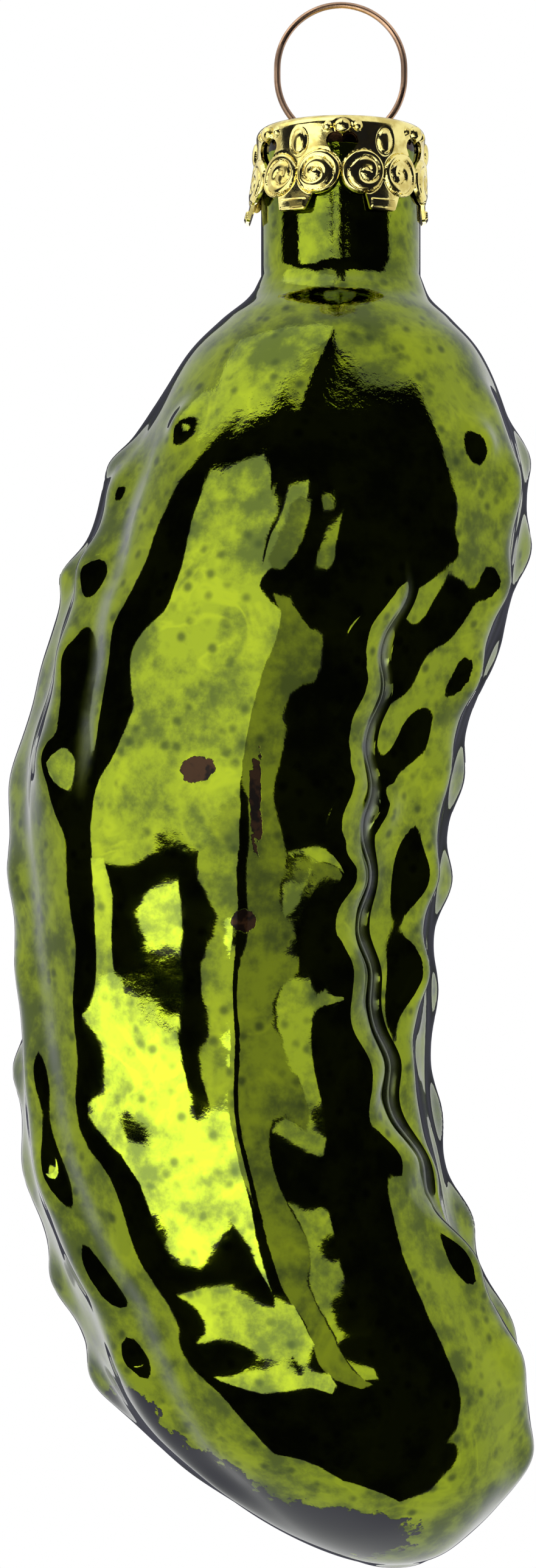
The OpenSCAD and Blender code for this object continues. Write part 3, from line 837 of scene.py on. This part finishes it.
def groove(reach, rim):
    """Depth of the groove round an ornament, at a reach from its middle as a share of its size."""
    return GROOVE_H * bell((reach - rim[0]) / rim[1])


def share_drop(share):
    """How far down the section a share of the cap's depth lies."""
    return drop_of(cap_high[2] - share * cap_depth)


def pressed(across, drop):
    """Height of everything pressed on the skirt."""
    side = np.abs(across)
    from_tab = PETAL_HALF_W - side

    volute_drop = share_drop(VOLUTE_SHARE)
    rise, reach = coil((PETAL_HALF_W / 2 - side) / VOLUTE_R, (drop - volute_drop) / VOLUTE_R)
    height = COIL_H * rise - groove(reach, VOLUTE_RIM) * (drop < volute_drop + VOLUTE_R)

    below = drop - share_drop(BEAD_SHARE)
    height += BEAD_H * dome(from_tab, below, BEAD_HALF)
    height -= groove(np.hypot(from_tab / BEAD_HALF[0], below / BEAD_HALF[1]), BEAD_RIM)

    below = drop - share_drop(CREST_SHARE)
    height += CREST_H * dome(side, below, CREST_HALF)
    height += DOT_H_SHARE * CREST_H * dome(side - DOT_ACROSS, below, DOT_HALF)
    height -= groove(np.hypot(side / CREST_HALF[0], below / CREST_HALF[1]), CREST_RIM)

    above = drop_of(cap_low[2]) - drop
    bar = ease((BAR_FROM - above) / BAR_EDGE) * (1 - ease((BAR_TO - above) / BAR_EDGE))
    height += BAR_H * bar * (1 - ease((from_tab - BAR_HALF_W) / BAR_END))
    return height


def petal_mesh():
    """The skirt from the middle of one tab to the next, and how many edges it shares with the top."""
    half = PETAL_HALF_W
    low = drop_of(cap_low[2])
    volute = (half / 2, share_drop(VOLUTE_SHARE))
    root_at, end_at = half - TAB_ROOT_W / 2, half - TAB_W / 2

    lean = math.degrees(math.acos((root_at + TAB_ROOT_LAP - volute[0]) / VOLUTE_R))
    hem = cut_arc(volute, VOLUTE_R, lean, 180 - HEM_GAP_TURN)
    corners = [(half, low), (end_at + TAB_CORNER[0], low), (end_at, low - TAB_CORNER[1]), hem[0]]
    right = walked(corners, MESH_STEP) + hem
    left = [(-x, y) for x, y in reversed(right)]
    top = walked([(-half, low), (-half, 0), (half, 0), (half, low)], MESH_STEP)
    outline = top + right + left[:-1]

    heart_drop = share_drop(HEART_SHARE)
    lobe_r = HEART_W * HEART_LOBE_SHARE
    lobe = (HEART_W / 2 - lobe_r, heart_drop - HEART_H / 2 + lobe_r)
    cleft = math.degrees(math.acos(lobe[0] / lobe_r))
    upper = cut_arc(lobe, lobe_r, -180 + cleft, HEART_LOBE_END)
    foot = cut_arc(volute, VOLUTE_R + HEART_VOLUTE_GAP, *HEART_FOOT_TURNS)
    tip = (0, heart_drop + HEART_H / 2)
    clear_x, clear_y = HEART_TIP_CLEAR
    heart_right = upper + walked([upper[-1], foot[0]], MESH_STEP)[1:]
    heart_right += [(x, y) for x, y in foot if x > clear_x and y < tip[1] - clear_y]
    heart = heart_right + [tip] + [(-x, y) for x, y in reversed(heart_right[1:])]

    points, triangles = filled([outline, heart], MESH_STEP)
    across, drop = points[:, 0], points[:, 1]
    outer = sheet_place(across, drop, pressed(across, drop))
    inner = sheet_place(across, drop, np.full(len(points), -SHEET_T))
    a, b, c = (outer[i] for i in triangles[0])
    if np.dot(np.cross(b - a, c - a), a * (1, 1, 0)) < 0:
        triangles = triangles[:, ::-1]

    def joins(i, j):
        """Whether an edge meets the next petal or the cap's top."""
        on_side = all(abs(abs(across[k]) - half) < EDGE_TOLERANCE for k in (i, j))
        on_top = all(drop[k] < EDGE_TOLERANCE for k in (i, j))
        return on_side and across[i] * across[j] > 0 or on_top

    return walled("petal", outer, inner, triangles, joins), int(np.sum(drop < EDGE_TOLERANCE)) - 1


def crown_top(per_petal):
    """The flat top inside the shoulder, with a slot for each leg of the wire."""
    turns = np.radians(np.arange(per_petal * PETALS) * 360 / (per_petal * PETALS) - 180 / PETALS)
    rim = np.stack([CAP_TOP_R * np.sin(turns), -CAP_TOP_R * np.cos(turns)], axis=-1)
    slots = []
    half = SLOT_W / 2
    for a, b in ((-SLOT_TO, -SLOT_FROM), (SLOT_FROM, SLOT_TO)):
        slots.append(walked([(a, -half), (b, -half), (b, half), (a, half), (a, -half)], SLOT_STEP))
    points, triangles = filled([rim, *slots], TOP_STEP)
    z = cap_high[2]
    outer = np.column_stack([points, np.full(len(points), z)])
    inner = np.column_stack([points, np.full(len(points), z - SHEET_T)])
    a, b, c = (points[i] for i in triangles[0])
    if (b - a)[0] * (c - a)[1] - (b - a)[1] * (c - a)[0] < 0:
        triangles = triangles[:, ::-1]
    at_rim = np.hypot(points[:, 0], points[:, 1]) > CAP_TOP_R - EDGE_TOLERANCE
    return walled("crown_top", outer, inner, triangles, lambda i, j: at_rim[i] and at_rim[j])


def crown_cap(material):
    """The pressed cap: one petal turned six times round the neck, and joined to the slotted top."""
    petal, per_petal = petal_mesh()
    top = crown_top(per_petal)
    tree = Growth("crown_of_petals", {
        "Petals": "Int", "Top": "Object", "Join": "Float", "Crease": "Float", "Finish": "Material"})
    spots = tree.node("GeometryNodePoints", {"Count": tree.given("Petals")})
    count = tree.node("GeometryNodeInputIndex")
    step = tree.node("ShaderNodeMath", {0: 2 * math.pi, 1: tree.given("Petals")}, operation="DIVIDE")
    turn = tree.node("ShaderNodeMath", {0: count, 1: step}, operation="MULTIPLY")
    spin = tree.node("ShaderNodeCombineXYZ", {"Z": turn})
    ring = tree.node("GeometryNodeInstanceOnPoints", {
        "Points": spots, "Instance": tree.given("Geometry"), "Rotation": spin})
    lid = tree.node("GeometryNodeObjectInfo", {"Object": tree.given("Top")})
    whole = tree.node("GeometryNodeJoinGeometry")
    tree.wire(ring, whole.inputs[0])
    tree.wire(lid.outputs["Geometry"], whole.inputs[0])
    real = tree.node("GeometryNodeRealizeInstances", {"Geometry": whole})
    joined = tree.node("GeometryNodeMergeByDistance", {"Geometry": real, "Distance": tree.given("Join")})
    smooth = tree.node("GeometryNodeSetShadeSmooth", {"Geometry": joined})
    bend = tree.node("GeometryNodeInputMeshEdgeAngle")
    sharp = tree.node("FunctionNodeCompare", {0: bend, 1: tree.given("Crease")},
                      data_type="FLOAT", operation="GREATER_THAN")
    creased = tree.node("GeometryNodeSetShadeSmooth", {
        "Geometry": smooth, "Selection": sharp, "Shade Smooth": False}, domain="EDGE")
    tree.ends_in(creased, tree.given("Finish"))
    piece = tree.grow("pressed_crown_cap", petal, {
        "Petals": PETALS, "Top": top, "Join": JOIN_DISTANCE * MM, "Crease": math.radians(SHARP_TURN),
        "Finish": material})
    bpy.data.objects.remove(top)
    points = np.empty(3 * len(piece.data.vertices))
    piece.data.vertices.foreach_get("co", points)
    piece.data.vertices.foreach_set("co", (leaned(points.reshape(-1, 3) / MM) * MM).ravel())
    return piece


# Hanging ring

def wire_bend(centre, radius, start, end):
    """Points of a bend in the XZ plane, between two angles in degrees."""
    return arc(centre, radius, start, end, max(3, round(abs(end - start) / BEND_STEP_TURN)))


def hanging_ring(material):
    """Spring wire swept along its route: leg, kink, ring, kink, leg."""
    wire_r = WIRE_D / 2
    ring_r = (wire_high[0] - wire_low[0]) / 2 - wire_r
    top = (0, wire_high[2] - wire_r - ring_r)
    low = (0, top[1] - RING_STRAIGHT)
    lower = wire_bend(low, ring_r, 0, -RING_WRAP)
    wrap, splay = math.radians(RING_WRAP), math.radians(LEG_SPLAY)
    kink = ((ring_r + KINK_R) * math.cos(wrap), low[1] - (ring_r + KINK_R) * math.sin(wrap))
    bend = wire_bend(kink, KINK_R, 180 - RING_WRAP, 180 + LEG_SPLAY)
    leg_fall = bend[-1][1] - (wire_low[2] + wire_r)
    tip = np.array((bend[-1][0] + leg_fall * math.tan(splay), bend[-1][1] - leg_fall))
    run = np.array((math.sin(splay), -math.cos(splay)))
    right = [(x, z, 1.0) for x, z in wire_bend(top, ring_r, 90, 0)[1:] + lower + bend[1:]]
    right += [(*(tip - run * back), 1.0) for back in (*LEG_POINTS, wire_r)]
    right += [
        (*(tip - run * wire_r + run * wire_r * math.sin(a)), max(TIP_LEAST, math.cos(a)))
        for a in np.radians(TIP_TURNS)
    ]
    left = [(-x, z, size) for x, z, size in reversed(right)]
    route = left + [(0, top[1] + ring_r, 1.0)] + right

    data = bpy.data.curves.new("wire_route", "CURVE")
    data.dimensions = "3D"
    line = data.splines.new("POLY")
    line.points.add(len(route) - 1)
    for point, (x, z, size) in zip(line.points, route):
        point.co = (x * MM, 0, z * MM, 1)
        point.radius = size
    source = placed_object("wire_route", data)

    tree = Growth("wire_sweep", {"Thickness": "Float", "Sides": "Int", "Finish": "Material"})
    half = tree.node("ShaderNodeMath", {0: tree.given("Thickness"), 1: 0.5}, operation="MULTIPLY")
    section = tree.node("GeometryNodeCurvePrimitiveCircle", {
        "Resolution": tree.given("Sides"), "Radius": half})
    taper = tree.node("GeometryNodeInputRadius")
    swept = tree.node("GeometryNodeCurveToMesh", {
        "Curve": tree.given("Geometry"), "Profile Curve": section,
        "Scale": taper, "Fill Caps": True})
    smooth = tree.node("GeometryNodeSetShadeSmooth", {"Geometry": swept})
    tree.ends_in(smooth, tree.given("Finish"))
    return tree.grow("hanging_ring_wire", source, {
        "Thickness": WIRE_D * MM, "Sides": WIRE_SIDES, "Finish": material})


# Studio

def camera():
    """The photograph's camera, level and square to the ring's flat face."""
    data = bpy.data.cameras.new("camera")
    data.sensor_width = SENSOR
    data.lens = SENSOR * CAMERA_DISTANCE / (PHOTO_HEIGHT_PX * MM_PER_PX)
    data.clip_start, data.clip_end = CAMERA_REACH
    eye = placed_object("camera", data)
    eye.location = Vector((PHOTO_CENTRE[0], -CAMERA_DISTANCE, PHOTO_CENTRE[1])) * MM
    eye.rotation_euler = (math.radians(90), 0, 0)
    bpy.context.scene.camera = eye


def glow(name, colour, strength):
    """A surface that only shines."""
    material = bpy.data.materials.new(name)
    material.use_nodes = True
    nodes = Nodes(material.node_tree)
    nodes.tree.nodes.clear()
    shine = nodes.node("ShaderNodeEmission", {"Color": (*colour, 1), "Strength": strength})
    nodes.node("ShaderNodeOutputMaterial", {"Surface": shine})
    return material


def card(name, outline, behind, material):
    """A studio card round the object, curved to face it and unseen by the camera.

    Bearing 0 is the camera's, and positive bearings turn to +X.
    """
    distance = CARD_DISTANCE + behind
    points, triangles = filled([walked((*outline, outline[0]), CARD_EDGE_STEP)], CARD_STEP)
    turn, rise = np.radians(points[:, 0]), np.radians(points[:, 1])
    placed = np.stack([
        distance * np.cos(rise) * np.sin(turn) + PHOTO_CENTRE[0],
        -distance * np.cos(rise) * np.cos(turn),
        distance * np.sin(rise) + PHOTO_CENTRE[1],
    ], axis=-1)
    piece = mesh_object(name, placed, triangles.tolist())
    piece.data.materials.append(material)
    piece.visible_camera = False


def studio():
    """An even white tent with black flags and bright cards round the object."""
    world = bpy.data.worlds.new("white_tent")
    world.use_nodes = True
    tent = world.node_tree.nodes["Background"]
    tent.inputs["Color"].default_value = (1, 1, 1, 1)
    tent.inputs["Strength"].default_value = 1.0
    bpy.context.scene.world = world
    bpy.context.scene.view_settings.view_transform = "Standard"

    for name, outline, behind, colour, strength in STUDIO_CARDS:
        card(name, outline, behind, glow(name + "_light", colour, strength))


def studio_floor():
    """A pale floor far below, where the object hangs clear of it."""
    size = FLOOR_HALF_SIZE
    z = glass_low[2] - FLOOR_DROP
    points = [(-size, -size, z), (size, -size, z), (size, size, z), (-size, size, z)]
    piece = mesh_object("floor", points, [(0, 1, 2, 3)])
    piece.data.materials.append(glow("pale_floor", (1, 1, 1), 1.0))


# Finishes

class Finish(Nodes):
    """A material built on its Principled shader. Constants are set on the shader's own sockets."""

    def __init__(self, name, **constants):
        self.material = bpy.data.materials.new(name)
        self.material.use_nodes = True
        super().__init__(self.material.node_tree)
        self.shader = self.tree.nodes["Principled BSDF"]
        for key, value in constants.items():
            self.shader.inputs[key.replace("_", " ")].default_value = value
        self.place = self.node("ShaderNodeTexCoord").outputs["Object"]

    def dress(self, **sockets):
        """Joins outputs to the shader's sockets."""
        for key, value in sockets.items():
            self.wire(value, self.shader.inputs[key.replace("_", " ")])

    def noise(self, per_mm, detail=2.0, roughness=0.5, distortion=0.0):
        """Noise with this many features to a millimetre, from 0 to 1."""
        return self.node("ShaderNodeTexNoise", {
            "Vector": self.place, "Scale": per_mm / MM, "Detail": detail, "Roughness": roughness,
            "Distortion": distortion}).outputs["Fac"]

    def spots(self, per_mm):
        """Distance from the nearest of scattered points, in cells."""
        cells = self.node("ShaderNodeTexVoronoi", {"Vector": self.place, "Scale": per_mm / MM})
        return cells.outputs["Distance"]

    def math(self, operation, a, b=0.0):
        """One operation on two values, each an output or a number."""
        return self.node("ShaderNodeMath", {0: a, 1: b}, operation=operation).outputs[0]

    def times(self, a, b):
        """Two values multiplied."""
        return self.math("MULTIPLY", a, b)

    def ramp(self, value, low, high, to_low=0.0, to_high=1.0):
        """Value brought from the span low..high to the span to_low..to_high, with soft ends."""
        return self.node("ShaderNodeMapRange", {
            "Value": value, "From Min": low, "From Max": high, "To Min": to_low, "To Max": to_high},
            interpolation_type="SMOOTHSTEP").outputs["Result"]

    def mix(self, share, first, second):
        """A colour between two colours, each an output or (r, g, b)."""
        made = self.node("ShaderNodeMix", {0: share}, data_type="RGBA")
        for colour, socket in ((first, made.inputs[6]), (second, made.inputs[7])):
            self.wire((*colour, 1) if isinstance(colour, tuple) else colour, socket)
        return made.outputs[2]

    def attribute(self, name):
        """A mark that the mesh carries at its points."""
        return self.node("ShaderNodeAttribute", attribute_name=name).outputs["Fac"]

    def bumps(self, pairs):
        """Normal pushed about by heights: pairs of (height output, depth in millimetres)."""
        normal = None
        for height, depth in pairs:
            wires = {"Height": height, "Distance": depth * MM, "Strength": 1.0}
            if normal is not None:
                wires["Normal"] = normal
            normal = self.node("ShaderNodeBump", wires).outputs["Normal"]
        return normal


def lacquer():
    """Mirror-silvered glass under a transparent green lacquer of uneven thickness."""
    paint = Finish("green_lacquer", Coat_Roughness=0.03, Coat_IOR=1.6, Specular_Tint=SILVER_TINT)
    facing = paint.node("ShaderNodeLayerWeight", {"Blend": 0.5}).outputs["Facing"]

    clouds = paint.noise(0.16, 3.0, 0.5)
    mottle = paint.noise(0.5, 5.0, 0.62)
    thick = paint.math("ADD", paint.times(clouds, 0.45), paint.times(mottle, 0.55))
    green = paint.mix(paint.ramp(thick, 0.39, 0.58), LACQUER_DEEP, LACQUER_BRIGHT)
    vein = paint.math("ABSOLUTE", paint.math("SUBTRACT", paint.noise(0.22, 3.0, 0.6, 0.6), 0.5))
    vein = paint.times(paint.ramp(vein, 0.0, 0.08, 1.0, 0.0), paint.ramp(clouds, 0.45, 0.6))
    green = paint.mix(paint.times(vein, 0.4), green, LACQUER_VEIN)
    specks = paint.times(paint.ramp(paint.spots(0.8), 0.08, 0.40, 1.0, 0.0),
                         paint.ramp(paint.noise(0.35, 4.0), 0.38, 0.56))
    green = paint.mix(paint.times(specks, 0.75), green, LACQUER_SPECK)
    # Painted sheen: a grey grazing reflection painted into the colour along the furrows and round the foot of
    # the neck, with less metal and more roughness there
    painted_sheen = paint.times(paint.ramp(paint.attribute("painted_sheen_mark"), 0.10, 0.95, 0.0, 0.66),
                       paint.ramp(paint.noise(0.3, 4.0), 0.32, 0.58, 0.45, 1.0))
    green = paint.mix(painted_sheen, green, FURROW_PAINTED_SHEEN)

    ragged = paint.times(paint.noise(0.8, 4.0, 0.65), 1.3)
    bare = paint.ramp(paint.math("ADD", paint.attribute("bare"), ragged), 1.10, 1.17)
    brown = paint.mix(paint.ramp(paint.noise(1.1, 3.0), 0.42, 0.55), WORN_DARK, WORN_BROWN)
    worn = paint.mix(paint.ramp(paint.attribute("broad"), 0.02, 0.15), brown, WORN_SLATE)

    up = paint.node("ShaderNodeSeparateXYZ", {"Vector": paint.place}).outputs["Z"]
    low, high = (height * MM for height in CRINKLE_HEIGHTS)
    crinkles = paint.times(paint.noise(1.3, 4.0, 0.6), paint.ramp(up, low, high, 0.12, 1.0))
    paint.dress(
        Base_Color=paint.mix(bare, green, worn),
        Metallic=paint.math("SUBTRACT", 1.0, paint.times(painted_sheen, 0.75)),
        Roughness=paint.math("ADD", paint.ramp(bare, 0.0, 1.0, 0.035, 0.22), paint.times(painted_sheen, 0.4)),
        Coat_Weight=paint.ramp(facing, 0.25, 0.85, 0.12, 1.0),
        Normal=paint.bumps(((paint.noise(0.4, 1.0), 0.018), (crinkles, 0.022), (bare, -0.02))),
    )
    return paint.material


def metal(name, bright, worn, roughness, per_mm):
    """Plated metal, darker and rougher where it is worn."""
    plate = Finish(name, Metallic=1.0)
    wear = plate.ramp(plate.noise(per_mm, 5.0), 0.35, 0.6)
    plate.dress(
        Base_Color=plate.mix(wear, worn, bright),
        Roughness=plate.ramp(wear, 0.0, 1.0, 2 * roughness, roughness),
        Normal=plate.bumps(((plate.noise(4 * per_mm), 0.004),)),
    )
    return plate.material


camera()
studio()
studio_floor()
glass = glass_mesh()
glass.data.materials.append(lacquer())
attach(glass, "glass")
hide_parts("glass_gherkin")

cap = crown_cap(metal("pressed_gold_sheet", GOLD, DULL_GOLD, roughness=0.10, per_mm=1.1))
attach(cap, "cap")
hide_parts("crown_cap")

ring = hanging_ring(metal("rose_gold_wire", ROSE_GOLD, DULL_ROSE_GOLD, roughness=0.2, per_mm=0.3))
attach(ring, "hanger")
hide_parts("hanger_wire")
